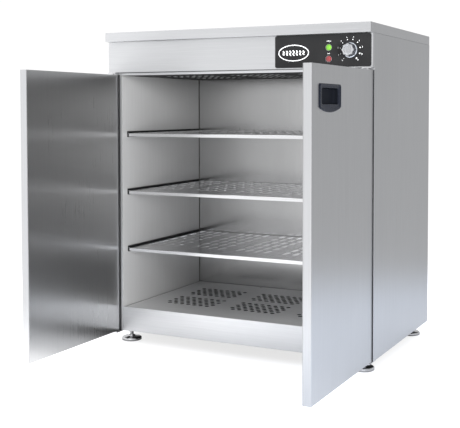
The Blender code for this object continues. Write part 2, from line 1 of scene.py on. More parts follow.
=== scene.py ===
"""The looks of the heated holding cabinet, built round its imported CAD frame.

Everything is in metres in the record's frame: x to the cabinet's right, y from its doors to its back,
z up. Each piece takes its place from the CAD node that it stands for.
"""

from math import cos, pi, radians, sin

import bmesh
import bpy
from mathutils import Matrix, Vector
from mathutils.geometry import delaunay_2d_cdt


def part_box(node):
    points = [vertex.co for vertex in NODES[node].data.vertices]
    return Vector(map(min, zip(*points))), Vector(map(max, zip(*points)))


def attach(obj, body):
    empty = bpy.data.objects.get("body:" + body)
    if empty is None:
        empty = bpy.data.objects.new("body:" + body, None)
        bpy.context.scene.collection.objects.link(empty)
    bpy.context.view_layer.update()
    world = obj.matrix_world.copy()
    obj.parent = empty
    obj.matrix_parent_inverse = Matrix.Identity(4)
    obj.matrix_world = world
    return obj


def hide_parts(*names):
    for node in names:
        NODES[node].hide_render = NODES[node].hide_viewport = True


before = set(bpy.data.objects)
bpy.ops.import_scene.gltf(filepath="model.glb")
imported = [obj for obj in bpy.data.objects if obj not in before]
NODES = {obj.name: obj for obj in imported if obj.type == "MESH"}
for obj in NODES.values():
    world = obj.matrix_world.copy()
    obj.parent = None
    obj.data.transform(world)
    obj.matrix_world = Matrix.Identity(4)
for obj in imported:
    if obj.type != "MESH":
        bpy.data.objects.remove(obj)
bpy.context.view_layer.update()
SIDES = {"left": -1, "right": 1}  # with the sign of x

# Sheet metal
SHEET = 0.0012
FOLD_R = 0.0016
FOLD_STEPS = 4
EDGE_R = 0.00035  # of a cut edge
PRESS_R = 0.0011  # of a pressed outer fold
CAP_FOLD_R = 0.0014  # of the worktop
PANEL_EDGE = (0.0005, 0.0004)  # of the control panel: folds, cut edges
NUT_EDGE = (0.0006, 0.0004)
FLOOR_FOLD_R = 0.0020
LINER_GROOVE = 0.0018  # between the inner sides and the inner back
LINER_LIP = 0.006
FLOOR_LIPS = (0.008, 0.008, 0.009, 0.009)
CEILING_LIP = 0.006
SHELF_NOTCH = 0.0036  # cut out of a shelf's corners

# Perforation: fields of round holes in staggered rows, three fields across and two deep
HOLE_R = 0.0062
HOLE_SEGMENTS = 14
HOLE_PITCH = 0.0196
ROW_PITCH = 0.0164
ROWS = 6
LONG_ROW = 8
FIELD_STEP_X = 0.198
FIELD_STEP_Y = 0.1285
FIELD_MID = 0.2093  # from the inner back to the middle of the fields
FLOOR_SCREW = (0.219, 0.0128, 0.0026)  # from the floor's left and back edges, and its radius

# Dark strips round the floor plate, painted shade in its gaps; on the jambs door seals, and dark strips
# beside and above the doors, painted shade in those gaps
EDGE_SHADE_W = 0.0022
EDGE_SHADE_DOWN = 0.0006
SEAL_W = 0.0020
SEAL_PROUD = 0.0018
SEAL_INSET = 0.0016  # from the door's inner face
GAP_SHADE_W = 0.0020
GAP_SHADE_PROUD = 0.0013
TOP_SHADE_W = 0.0012
SEAL_GAP = 0.0003

# Shelf slots: columns in groups, from front to back
SLOT_W = 0.013
SLOT_L = 0.040
SLOT_GROUPS = 5
GROUP_COLUMNS = 4
COLUMN_STEP = 0.0275
SLOT_ROWS = 6
SLOT_STEP = 0.0545
SLOT_FRONT = 0.0715  # from the shelf's front to its first slots

# Colours, linear
STEEL = (0.62, 0.625, 0.635)
LINER = (0.60, 0.60, 0.60)
POLISHED = (0.74, 0.74, 0.75)
INK = (0.85, 0.86, 0.86)

# Handles: the plate's bowed lower edge and the cup, measured from the plate's top
PLATE_T = 0.0020
PULL_BOW = 0.0098
PULL_CORNER = 0.004
PULL_STEPS = 24
PULL_SEGMENTS = 96
CUP_HALF = 0.047
CUP_TOP = 0.0093
CUP_LOW = 0.0428
CUP_CORNER = 0.005
CUP_FLOOR = 0.0110
CUP_BACK = 0.0132
CUP_SHADE = 0.0006  # under the skin, where the painted shade of the cup's inside begins

# Printed marks
INK_T = 0.00012
MARKS = 10
MARK_SWEEP = 282  # degrees
MARK_R = (0.0006, 0.0017)  # of the first and the last
MARK_REACH = 0.0255  # from the knob's axis
MARK_SEGMENTS = 16
NUMBER_REACH = 0.0312
NUMBER_H = (0.0040, 0.0054)
BADGE_INSET = 0.050  # from the panel's left edge
BADGE_DROP = 0.0035  # under the panel's middle
BADGE_REACH = (0.0395, 0.0190)
BADGE_LINE = 0.0020
WAVES = 7
WAVE_GAP = 0.0088
WAVE_STEPS = 16
WAVE_HALF = 0.0066
WAVE_TAPER = 0.0010
WAVE_SWAY = 0.0014
WAVE_LINE = 0.0030
SWITCH_SIGN_UP = 0.0150  # over the green lamp's middle
HEAT_SIGN_UP = 0.0125  # over the red lamp's middle

# Lamps and knob
LENS_STEM_R = 0.0058
LENS_STEM = 0.0150
LENS_STEPS = 7
LENS_SEGMENTS = 40
KNOB_LOBES = 8
KNOB_STEPS = 12  # to a lobe
KNOB_FLUTE = 0.13  # of its radius

# Feet
FEET = {"front_left": "foot_fl", "front_right": "foot_fr", "rear_left": "foot_rl", "rear_right": "foot_rr"}
THREAD_R = 0.0050
THREAD_ROOT = 0.0044
THREAD_PITCH = 0.0015
THREAD_START = 0.0150
FOOT_SEGMENTS = 64

# Back: gland and screws
GLAND_STEM = 0.0260
GLAND_SEGMENTS = 72
GLAND_RIBS = 18
SCREW_R = 0.0036
SCREW_H = 0.0018
SCREW_SEGMENTS = 24
SCREW_HEAD = ((1.0, 0.0), (1.0, 0.0004), (0.92, 0.0010), (0.70, 0.0016), (0.46, SCREW_H))  # share, height
SCREW_CROSS = (0.0016, 0.0006)  # heights of the recess's edge and floor
SCREW_INSET = 0.011  # from the sheet's sides
SCREW_END = 0.03  # from its top and bottom
SCREW_ROWS = 5

# Camera
LENS = 71.42
SENSOR = 36.0
LENS_SHIFT = (-0.0683, -0.1430)
CAMERA_PLACE = (1.0790, -2.1134, 0.6350)
CAMERA_DOWN = 2.43  # degrees
CAMERA_TURN = 25.95

# Studio: the room's level by direction, in degrees from the front towards the right
ROOM_RAMP = (
    (-180, 0.60), (-60, 1.10), (-42, 1.55), (-34, 1.25), (-19, 0.92), (-8, 1.10), (5, 1.50),
    (22, 1.40), (36, 0.90), (60, 0.60), (90, 0.50), (140, 0.56), (180, 0.57),
)
ROOM_BELOW = 1.4  # times as bright under the horizon
FLOOR_R = 1.7
FLOOR_GLOW = (0.90, 0.16)  # as a reflection, from the left to the right
FLOOR_SHADE = (-0.04, 0.06)  # where the glow fades, from the cabinet's outline
FLOOR_AHEAD = (-0.20, -0.30)  # the left glow lies before the cabinet: none, full
FLOOR_ASIDE = (-0.95, -0.60)  # and not far out to the left: none, full
FLOOR_SEEN = 0.75  # as the camera sees it
FLOOR_SIDES = (-0.5, 0.6)  # x of its left and right tones
FLOOR_SEGMENTS = 96
ROOM_EDGE = (-0.45, -0.10)  # heights of direction between the lower and the upper room
ROOM_TINT = (0.985, 0.99, 1.0, 1)
BACKDROP = 1.05
KEY_PLACE = (2.75, -2.0, 0.65)
KEY_AIM = (-0.3, 0.0, 0.35)
KEY_SIZE = 1.5
KEY_POWER = 320


# ---------------------------------------------------------------- materials


class Graph:
    """A node tree, and a short way to add its nodes."""

    def __init__(self, tree):
        self.tree = tree

    def node(self, kind, inputs=None, **settings):
        node = self.tree.nodes.new("ShaderNode" + kind)
        for key, value in settings.items():
            setattr(node, key, value)
        for key, value in (inputs or {}).items():
            self.feed(node.inputs[key], value)
        return node

    def feed(self, socket, value):
        if isinstance(value, bpy.types.NodeSocket):
            self.tree.links.new(value, socket)
        else:
            socket.default_value = value

    def ranged(self, value, low, high, source=(0.3, 0.7), ease="LINEAR"):
        inputs = {"Value": value, "From Min": source[0], "From Max": source[1], "To Min": low, "To Max": high}
        return self.node("MapRange", inputs, interpolation_type=ease).outputs["Result"]

    def math(self, operation, a, b):
        return self.node("Math", {0: a, 1: b}, operation=operation).outputs["Value"]


class Look(Graph):
    """One procedural material."""

    def __init__(self, name):
        self.material = bpy.data.materials.new(name)
        self.material.use_nodes = True
        super().__init__(self.material.node_tree)
        self.shader = self.tree.nodes["Principled BSDF"]
        self.place = self.node("TexCoord").outputs["Object"]

    def set(self, **values):
        """Sets the shader's sockets: base_color=... for Base Color, and so on."""
        for key, value in values.items():
            self.feed(self.shader.inputs[key.replace("_", " ").title().replace("Ior", "IOR")], value)

    def noise(self, scale, stretch=(1, 1, 1), detail=2.0, roughness=0.5):
        spread = self.node("Mapping", {"Vector": self.place, "Scale": stretch}).outputs["Vector"]
        inputs = {"Vector": spread, "Scale": scale, "Detail": detail, "Roughness": roughness}
        return self.node("TexNoise", inputs).outputs["Fac"]

    def mixed(self, share, a, b):
        """The colour between a and b: the Mix node's inputs 6 and 7, and its output 2."""
        node = self.node("Mix", data_type="RGBA")
        self.feed(node.inputs["Factor"], share)
        for socket, colour in ((node.inputs[6], a), (node.inputs[7], b)):
            self.feed(socket, (*colour, 1) if isinstance(colour, tuple) else colour)
        return node.outputs[2]

    def bump(self, height, strength, distance):
        inputs = {"Height": height, "Strength": strength, "Distance": distance}
        self.feed(self.shader.inputs["Normal"], self.node("Bump", inputs).outputs["Normal"])

    def worn_edges(self, radius):
        """0 on flats and up to 1 where the surface turns within radius."""
        rounded = self.node("Bevel", {"Radius": radius}, samples=4).outputs["Normal"]
        true = self.node("NewGeometry").outputs["Normal"]
        likeness = self.node("VectorMath", {0: rounded, 1: true}, operation="DOT_PRODUCT")
        return self.ranged(likeness.outputs["Value"], 1.0, 0.0, (0.80, 0.98))


def shade(colour, factor):
    return tuple(channel * factor for channel in colour)


def brushed(
    name, grain, tint=STEEL, rough=0.32, spread=0.7, contrast=1.0, bump=0.02, metal=1.0, gloss=0.5,
):
    """Brushed sheet steel, with its grain along one axis and its highlights spread across it."""
    look = Look(name)
    along = "xyz".index(grain)
    fine, broad = (tuple(1.0 if i == along else ratio for i in range(3)) for ratio in (100, 160))
    hair = look.noise(10.0, fine, detail=2.0, roughness=0.7)
    line = look.noise(3.5, fine, detail=2.0, roughness=0.6)
    streak = look.noise(0.8, broad, detail=3.0)
    cloud = look.noise(3.5, detail=4.0, roughness=0.55)
    lines = look.math("ADD", look.math("MULTIPLY", hair, 0.55), look.math("MULTIPLY", line, 0.35))
    lines = look.math("ADD", lines, look.math("MULTIPLY", streak, 0.10))
    low, high = shade(tint, 1 - 0.06 * contrast), shade(tint, 1 + 0.05 * contrast)
    common = (0.36, 0.64)  # most of the lines' levels
    colour = look.mixed(look.ranged(lines, 0, 1, common), low, high)
    colour = look.mixed(look.ranged(cloud, 0.0, 0.5 * contrast), colour, shade(tint, 0.94))
    patchy = look.ranged(cloud, -0.01 * contrast, 0.02 * contrast)
    glint = look.ranged(lines, -0.012 * contrast, 0.012 * contrast, common)
    look.set(base_color=colour, metallic=metal, anisotropic=spread, specular_ior_level=gloss)
    look.set(roughness=look.math("ADD", look.math("ADD", patchy, glint), rough))
    along_grain = tuple(float(i == along) for i in range(3))
    turned = look.node("VectorTransform", {"Vector": along_grain}, vector_type="VECTOR")
    turned.convert_from, turned.convert_to = "OBJECT", "WORLD"
    look.set(tangent=turned.outputs["Vector"], anisotropic_rotation=0.25)
    look.bump(hair, bump, 0.0002)
    return look.material


def polished(name, tint=POLISHED, rough=0.10, patch=0.93, grain=60.0):
    """Bright plated or turned metal with faint wear and finger marks, as dark as patch where it is dull."""
    look = Look(name)
    cloud = look.noise(grain, detail=5.0, roughness=0.65)
    scuff = look.noise(900.0, detail=2.0)
    colour = look.mixed(look.ranged(cloud, 0.0, 1.0), tint, shade(tint, patch))
    rough_map = look.math("ADD", look.ranged(cloud, rough - 0.03, rough + 0.06), look.ranged(scuff, 0, 0.03))
    look.set(base_color=colour, metallic=1.0, roughness=rough_map)
    look.bump(scuff, 0.02, 0.0001)
    return look.material


def moulded(name, tint, rough=0.42, grain=0.12, worn=0.35, gloss=0.5):
    """Moulded plastic: a fine spark-eroded grain, shinier and lighter on its handled edges."""
    look = Look(name)
    pebble = look.noise(2600.0, detail=2.0, roughness=0.6)
    cloud = look.noise(35.0, detail=3.0)
    edges = look.worn_edges(0.0012)
    colour = look.mixed(look.ranged(cloud, 0.0, 0.6), tint, shade(tint, 1.25))
    colour = look.mixed(look.math("MULTIPLY", edges, worn), colour, tuple(0.10 + c for c in tint))
    handled = look.math("MULTIPLY", edges, -0.12)
    look.set(base_color=colour, roughness=look.math("ADD", look.ranged(cloud, rough, rough + 0.08), handled))
    look.set(specular_ior_level=gloss)
    look.bump(pebble, grain, 0.00008)
    return look.material


def glowing(name, tint, glow):
    """A coloured lamp lens: clear plastic over a lit or unlit centre."""
    look = Look(name)
    ripple = look.noise(700.0, detail=1.0)
    colour = look.mixed(look.ranged(ripple, 0.0, 0.35), tint, shade(tint, 0.7))
    look.set(base_color=colour, roughness=look.ranged(ripple, 0.10, 0.18))
    look.set(emission_color=colour, emission_strength=glow, coat_weight=0.25, coat_roughness=0.12)
    look.bump(ripple, 0.06, 0.0002)
    return look.material


def printed(name, tint):
    """Screen-printed ink, a little uneven."""
    look = Look(name)
    speckle = look.noise(1500.0, detail=3.0)
    look.set(base_color=look.mixed(look.ranged(speckle, 0.0, 0.5), tint, shade(tint, 0.85)))
    look.set(roughness=look.ranged(speckle, 0.45, 0.6))
    return look.material


def overlay(name):
    """The dark satin control overlay."""
    look = Look(name)
    grain = look.noise(3200.0, detail=2.0)
    cloud = look.noise(14.0, detail=4.0)
    look.set(base_color=look.mixed(look.ranged(cloud, 0, 1), (0.009, 0.009, 0.0095), (0.013, 0.013, 0.0135)))
    look.set(roughness=look.ranged(grain, 0.42, 0.55), specular_ior_level=0.25)
    look.bump(grain, 0.10, 0.00005)
    return look.material


def wool(name):
    """Stone wool: matted grey-brown fibre."""
    look = Look(name)
    fibre = look.noise(240.0, (1, 3, 1), detail=8.0, roughness=0.8)
    look.set(base_color=look.mixed(look.ranged(fibre, 0, 1), (0.10, 0.09, 0.07), (0.24, 0.22, 0.17)))
    look.set(roughness=look.ranged(fibre, 0.85, 1.0))
    look.bump(fibre, 0.6, 0.003)
    return look.material


def sheath(name):
    """The heater's oxidised sheath, straw to blue-black."""
    look = Look(name)
    heat = look.noise(12.0, detail=3.0)
    scale = look.noise(500.0, detail=4.0)
    look.set(base_color=look.mixed(look.ranged(heat, 0, 1), (0.10, 0.085, 0.08), (0.05, 0.055, 0.075)))
    look.set(metallic=0.8, roughness=look.ranged(scale, 0.40, 0.65))
    look.bump(scale, 0.15, 0.0002)
    return look.material


# ---------------------------------------------------------------- pieces


def middle(node):
    """The centre of a CAD node's box."""
    return [(a + b) / 2 for a, b in zip(*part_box(node))]


def half_width(node):
    low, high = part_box(node)
    return (high.x - low.x) / 2


def linked(name, data):
    """A new object in the scene."""
    obj = bpy.data.objects.new(name, data)
    bpy.context.scene.collection.objects.link(obj)
    return obj


def placed(name, mesh, look, body, node=None):
    """Links a finished mesh as a piece on its body, standing for its CAD node."""
    mesh.materials.clear()
    mesh.materials.append(look)
    piece = linked(name, mesh)
    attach(piece, body)
    if node:
        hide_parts(node)
    return piece


def mesh_from(bm, name):
    mesh = bpy.data.meshes.new(name)
    bm.to_mesh(mesh)
    bm.free()
    return mesh


def built(name, bm, look, body, node=None, smooth=None):
    """A piece from a closed bmesh, shaded smooth where its faces turn by less than smooth degrees."""
    bmesh.ops.recalc_face_normals(bm, faces=bm.faces)
    mesh = mesh_from(bm, name)
    if smooth:
        mesh.shade_smooth()
        mesh.set_sharp_from_angle(angle=radians(smooth))
    return placed(name, mesh, look, body, node)


def narrow(face):
    """True for the face of a cut edge: a strip no wider than the sheet."""
    return 2 * face.calc_area() / face.calc_perimeter() < SHEET * 0.75


def softened(node, name, look, body="cabinet", fold=PRESS_R, rim=EDGE_R):
    """A folded sheet part with its flats made whole, its folds pressed round and its cut edges eased."""
    bm = bmesh.new()
    bm.from_mesh(NODES[node].data)
    bmesh.ops.remove_doubles(bm, verts=bm.verts, dist=1e-6)
    bmesh.ops.dissolve_limit(bm, angle_limit=radians(1), verts=bm.verts, edges=bm.edges)
    weight = bm.edges.layers.float.new("bevel_weight_edge")
    for edge in bm.edges:
        if len(edge.link_faces) == 2 and edge.calc_face_angle(0) > radians(35):
            pressed = edge.is_convex and not any(narrow(face) for face in edge.link_faces)
            edge[weight] = 1.0 if pressed else rim / fold
    for face in bm.faces:
        face.smooth = True
    piece = placed(name, mesh_from(bm, name), look, body, node)
    bevel = piece.modifiers.new("round", "BEVEL")
    bevel.limit_method = "WEIGHT"
    bevel.width = fold
    bevel.segments = 3
    evened = piece.modifiers.new("flats", "WEIGHTED_NORMAL")
    evened.mode = "FACE_AREA"
    evened.weight = 100
    return piece


def around(count, start=0.0):
    """The angles of count even steps round a circle, the first one start steps on."""
    return [2 * pi * (i + start) / count for i in range(count)]


def ring_of(u, v, radius, segments=HOLE_SEGMENTS):
    return [(u + radius * cos(a), v + radius * sin(a)) for a in around(segments)]


def slot_ring(u, v, width, length, steps=6):
    """A slot along v with round ends, as a closed outline."""
    reach = (length - width) / 2
    ends = [(pi * i / steps, reach) for i in range(steps + 1)]
    ends += [(pi + pi * i / steps, -reach) for i in range(steps + 1)]
    return [(u + width / 2 * cos(a), v + shift + width / 2 * sin(a)) for a, shift in ends]


def shelf_slots(front):
    """Outlines of a shelf's slots, in x and y."""
    slots = []
    for group in range(SLOT_GROUPS):
        middle = (group - (SLOT_GROUPS - 1) / 2) * (GROUP_COLUMNS + 1) * COLUMN_STEP
        for column in range(GROUP_COLUMNS):
            x = middle + (column - (GROUP_COLUMNS - 1) / 2) * COLUMN_STEP
            for row in range(SLOT_ROWS):
                y = front + SLOT_FRONT + SLOT_L / 2 + row * SLOT_STEP
                slots.append(slot_ring(x, y, SLOT_W, SLOT_L))
    return slots


def hole_places(mid_y):
    """Centres of a perforated plate's holes, in x and y."""
    places = []
    for across in (-1, 0, 1):
        for deep in (-0.5, 0.5):
            x0 = across * FIELD_STEP_X
            y0 = mid_y + deep * FIELD_STEP_Y
            for row in range(ROWS):
                count = LONG_ROW - 1 + row % 2
                y = y0 + (row - (ROWS - 1) / 2) * ROW_PITCH
                places += [(x0 + (i - (count - 1) / 2) * HOLE_PITCH, y) for i in range(count)]
    return places


def pan(
    name, look, body, node, low, high, axes, depth, lips,
    holes=(), notch=0.0, radius=FOLD_R, rim_look=None,
):
    """A sheet panel with folded edges. low and high are its outer corners in the plane of axes (u, v),
    depth is its face's place along u x v, and lips are the lengths folded back at u low, u high, v low
    and v high. holes are closed outlines of (u, v)."""
    u_axis, v_axis = (Vector([float(axis == a) for a in "xyz"]) for axis in axes)
    w_axis = u_axis.cross(v_axis)
    inset = [radius if lip else 0.0 for lip in lips]
    u0, u1 = low[0] + inset[0], high[0] - inset[1]
    v0, v1 = low[1] + inset[2], high[1] - inset[3]
    bm = bmesh.new()
    known = {}

    def vert(u, v, w=0.0):
        key = (round(u, 6), round(v, 6), round(w, 6))
        if key not in known:
            known[key] = bm.verts.new(u_axis * u + v_axis * v + w_axis * (depth + w))
        return known[key]

    outline = [(u0, v0), (u0 + notch, v0), (u1 - notch, v0), (u1, v0), (u1, v0 + notch), (u1, v1 - notch)]
    outline += [(u1, v1), (u1 - notch, v1), (u0 + notch, v1), (u0, v1), (u0, v1 - notch), (u0, v0 + notch)]
    outline = list(dict.fromkeys(outline))
    if holes:
        points, edges, owner = [Vector(p) for p in outline], [], [-1] * len(outline)
        edges += [(i, (i + 1) % len(outline)) for i in range(len(outline))]
        for number, hole in enumerate(holes):
            start = len(points)
            points += [Vector(p) for p in hole]
            edges += [(start + i, start + (i + 1) % len(hole)) for i in range(len(hole))]
            owner += [number] * len(hole)
        found, _, faces, origins, _, _ = delaunay_2d_cdt(points, edges, [], 0, 1e-7)
        owners = [owner[source[0]] if source else -1 for source in origins]
        for face in faces:
            inside = {owners[i] for i in face}
            if len(inside) > 1 or -1 in inside:
                bm.faces.new([vert(*found[i]) for i in face])
    else:
        bm.faces.new([vert(*p) for p in outline])

    sides = (
        (lips[0], [(u0, v1 - notch), (u0, v0 + notch)], (-1, 0)),
        (lips[1], [(u1, v0 + notch), (u1, v1 - notch)], (1, 0)),
        (lips[2], [(u0 + notch, v0), (u1 - notch, v0)], (0, -1)),
        (lips[3], [(u1 - notch, v1), (u0 + notch, v1)], (0, 1)),
    )
    for lip, ends, out in sides:
        if not lip:
            continue
        rows = []
        for step in range(FOLD_STEPS + 1):
            angle = pi / 2 * step / FOLD_STEPS
            rows.append((radius * sin(angle), radius * (cos(angle) - 1)))
        rows.append((radius, -lip))
        for (reach_a, w_a), (reach_b, w_b) in zip(rows, rows[1:]):
            corners = []
            for end, reach, w in ((0, reach_a, w_a), (1, reach_a, w_a), (1, reach_b, w_b), (0, reach_b, w_b)):
                u, v = ends[end]
                corners.append(vert(u + out[0] * reach, v + out[1] * reach, w))
            face = bm.faces.new(corners[::-1])
            face.smooth = (reach_b, w_b) != rows[-1]
    bmesh.ops.recalc_face_normals(bm, faces=bm.faces)
    bm.normal_update()
    flat = max(bm.faces, key=lambda f: f.calc_area() if abs(f.normal.dot(w_axis)) > 0.9 else 0)
    if flat.normal.dot(w_axis) < 0:
        bmesh.ops.reverse_faces(bm, faces=bm.faces)
    piece = placed(name, mesh_from(bm, name), look, body, node)
    solid = piece.modifiers.new("sheet", "SOLIDIFY")
    solid.thickness = SHEET
    solid.offset = -1
    solid.use_even_offset = True
    if rim_look:
        piece.data.materials.append(rim_look)
        solid.material_offset_rim = 1
    return piece


def turned(profile, centre, axis, segments=48):
    """A turned solid: (radius, distance) pairs along axis from centre, closed at both ends."""
    bm = bmesh.new()
    turn = Vector((0, 0, 1)).rotation_difference(Vector(axis)).to_matrix()
    rings = []
    for radius, along in profile:
        angles = around(segments) if radius > 0 else [0.0]
        points = [Vector((radius * cos(a), radius * sin(a), along)) for a in angles]
        rings.append([bm.verts.new(turn @ point + centre) for point in points])
    join_rings(bm, rings)
    return bm


def join_rings(bm, rings):
    """Bands between rings of equal count, with a fan to a single point and a cap on an open end."""
    for lower, upper in zip(rings, rings[1:]):
        count = max(len(lower), len(upper))
        for i in range(count):
            j = (i + 1) % count
            corners = [lower[i % len(lower)], lower[j % len(lower)]]
            corners += [upper[j % len(upper)], upper[i % len(upper)]]
            bm.faces.new(list(dict.fromkeys(corners)))
    for ring in (rings[0], rings[-1]):
        if len(ring) > 2:
            bm.faces.new(ring)


def join_hoop(bm, rings):
    """Bands between rings of equal count, and from the last ring back to the first."""
    for lower, upper in zip(rings, rings[1:] + rings[:1]):
        for i in range(len(lower)):
            j = (i + 1) % len(lower)
            bm.faces.new((lower[i], lower[j], upper[j], upper[i]))


# ---------------------------------------------------------------- sheet metal


def make_carcass():
    steel_x = brushed("steel_across", "x")
    steel_z = brushed("steel_upright", "z")
    softened("worktop", "worktop_cap", steel_x, fold=CAP_FOLD_R)
    for side in SIDES:
        softened(f"side_{side}", f"side_sheet_{side}", steel_z)
    softened("back_panel", "back_sheet", steel_z)
    # The rails' steel is painted lighter than the other steel: painted light that stands for the brightness
    # they catch.
    rail_steel_painted_light = brushed("rail_steel_painted_light", "x", shade(STEEL, 1.14))
    softened("base_rail", "plinth", rail_steel_painted_light)
    softened("top_rail", "header", rail_steel_painted_light)
    softened("fascia", "fascia_sheet", steel_x)
    # The base pan is painted near black: painted shade seen through the floor's holes.
    softened("base_pan", "base_sheet", brushed("base_steel_painted_shade", "x", shade(STEEL, 0.12), rough=0.45, spread=0.5))


def make_lining():
    wall = brushed("liner_upright", "z", LINER, rough=0.46, metal=0.6)
    rear = brushed("liner_rear", "z", LINER, rough=0.20, spread=0.6, metal=0.95)
    low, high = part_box("liner_left")
    pan(
        "lining_left", wall, "cabinet", "liner_left", (low.y, low.z), (high.y - LINER_GROOVE, high.z),
        ("y", "z"), low.x + SHEET, (0, LINER_LIP, 0, 0),
    )
    low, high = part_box("liner_right")
    pan(
        "lining_right", wall, "cabinet", "liner_right", (low.z, low.y), (high.z, high.y - LINER_GROOVE),
        ("z", "y"), SHEET - high.x, (0, 0, 0, LINER_LIP),
    )
    low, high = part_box("liner_back")
    pan(
        "lining_back", rear, "cabinet", "liner_back", (low.x, low.z), (high.x, high.z),
        ("x", "z"), -low.y, (LINER_LIP, LINER_LIP, 0, 0),
    )


def make_perforated():
    """The floor and ceiling with their round holes, and the shelves with their slots."""
    places = hole_places(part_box("liner_back")[0].y - FIELD_MID)
    holes = [ring_of(x, y, HOLE_R) for x, y in places]
    lining = brushed("liner_flat", "x", shade(LINER, 1.1), rough=0.46, spread=0.6, metal=0.5)
    bright = shade(POLISHED, 1.10)
    shelf = brushed("shelf_steel", "x", bright, rough=0.22, spread=0.4, contrast=0.6, bump=0.03)
    pressed = brushed("slot_edge", "x", shade(POLISHED, 0.85), rough=0.5, spread=0.5)

    low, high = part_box("floor_plate")
    screw_x, screw_y, screw_r = FLOOR_SCREW
    screw_hole = ring_of(low.x + screw_x, high.y - screw_y, screw_r)
    # The floor's cut edges are painted near black: painted shade in its holes.
    cut = brushed("hole_edge_painted_shade", "z", shade(LINER, 0.10), rough=0.5, spread=0.5)
    inset = Vector((EDGE_SHADE_W, EDGE_SHADE_W))
    pan(
        "floor_sheet", lining, "cabinet", "floor_plate", low.xy + inset, high.xy - inset,
        ("x", "y"), high.z, FLOOR_LIPS, holes + [screw_hole], radius=FLOOR_FOLD_R, rim_look=cut,
    )
    # The ceiling sheet is painted dark grey: painted shade under the top of the opening.
    shaded = brushed("ceiling_painted_shade", "x", shade(LINER, 0.10), rough=0.6, spread=0.3, metal=0.3, gloss=0.1)
    low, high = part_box("ceiling_plate")
    upside_down = [ring_of(y, x, HOLE_R) for x, y in places]
    pan(
        "ceiling_sheet", shaded, "cabinet", "ceiling_plate", (low.y, low.x), (high.y, high.x),
        ("y", "x"), -low.z, (CEILING_LIP,) * 4, upside_down, rim_look=pressed,
    )
    for number, body in enumerate(("lower_shelf", "middle_shelf", "upper_shelf"), start=1):
        node = f"shelf_{number}"
        low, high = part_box(node)
        lips = (high.z - low.z,) * 4
        pan(
            f"shelf_sheet_{number}", shelf, body, node, low.xy, high.xy,
            ("x", "y"), high.z, lips, shelf_slots(low.y), notch=SHELF_NOTCH, rim_look=pressed,
        )


def strip(bm, low, high, along, corner=0.0005):
    """A strip along one axis, with its long edges eased."""
    ways = [axis for axis in range(3) if axis != "xyz".index(along)]
    (a0, b0), (a1, b1) = ([corners[axis] for axis in ways] for corners in (low, high))
    outline = [(a0 + corner, b0), (a1 - corner, b0), (a1, b0 + corner), (a1, b1 - corner)]
    outline += [(a1 - corner, b1), (a0 + corner, b1), (a0, b1 - corner), (a0, b0 + corner)]
    rings = []
    for end in (low, high):
        ring = []
        for a, b in outline:
            point = Vector(end)
            point[ways[0]], point[ways[1]] = a, b
            ring.append(bm.verts.new(point))
        rings.append(ring)
    join_rings(bm, rings)


def make_seals():
    """Black strips: on each jamb a rubber seal that the shut door meets, which also stands for shade at the
    door's edge, and one in the gap beside it, and one under the front panel; these two are painted shade in
    the gaps."""
    rubber = moulded("seal_rubber_and_painted_shade", (0.006, 0.006, 0.007), rough=0.6, worn=0.0)
    jamb_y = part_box("top_rail")[0].y
    for side, sign in SIDES.items():
        low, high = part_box(f"door_{side}_shell")
        inner = min(abs(low.x), abs(high.x)) - SEAL_INSET
        outer = max(abs(low.x), abs(high.x)) + SEAL_GAP
        # The second strip on each jamb is painted shade in the gap beside the door.
        strips = ((inner - SEAL_W, SEAL_W, SEAL_PROUD), (outer, GAP_SHADE_W, GAP_SHADE_PROUD))
        bm = bmesh.new()
        for start, width, proud in strips:
            ends = sorted((sign * start, sign * (start + width)))
            strip(bm, Vector((ends[0], jamb_y - proud, low.z)), Vector((ends[1], jamb_y, high.z)), "z")
        built(f"seal_{side}", bm, rubber, "cabinet", smooth=40)
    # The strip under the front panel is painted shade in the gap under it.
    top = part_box("fascia")[0].z - SEAL_GAP
    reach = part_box("hinge_upper_right")[0].x - SEAL_INSET
    bm = bmesh.new()
    strip(bm, Vector((-reach, jamb_y - SEAL_PROUD, top - TOP_SHADE_W)), Vector((reach, jamb_y, top)), "x")
    built("top_gap_shade", bm, rubber, "cabinet", smooth=40)


def make_floor_bead():
    """Dark strips between the floor plate and the walls, the back and the base rail: painted shade in the
    gaps round the plate.
    """
    low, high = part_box("floor_plate")
    top = high.z - EDGE_SHADE_DOWN
    under = top - 2 * EDGE_SHADE_W
    bm = bmesh.new()
    for x in (low.x, high.x - EDGE_SHADE_W):
        strip(bm, Vector((x, low.y + EDGE_SHADE_W, under)), Vector((x + EDGE_SHADE_W, high.y - EDGE_SHADE_W, top)), "y")
    for y in (low.y, high.y - EDGE_SHADE_W):
        strip(bm, Vector((low.x, y, under)), Vector((high.x, y + EDGE_SHADE_W, top)), "x")
    floor_edge_shade = moulded("floor_edge_shade", (0.006, 0.006, 0.007), rough=0.5, worn=0.0)
    built("floor_edge_shade_strips", bm, floor_edge_shade, "cabinet", smooth=40)


def make_doors():
    steel = brushed("door_steel", "z")
    inner = brushed("door_lining", "z", LINER, rough=0.28, contrast=0.5, bump=0.012)
    bright = brushed("hinge_steel", "z", POLISHED, rough=0.25, spread=0.5)
    for side in SIDES:
        body = f"{side}_door"
        softened(f"door_{side}_shell", f"door_{side}_skin", steel, body)
        softened(f"door_{side}_inner", f"door_{side}_lining", inner, body)
        for level in ("upper", "lower"):
            softened(f"hinge_{level}_{side}", f"hinge_{level}_{side}_plate", bright)


# ---------------------------------------------------------------- handles


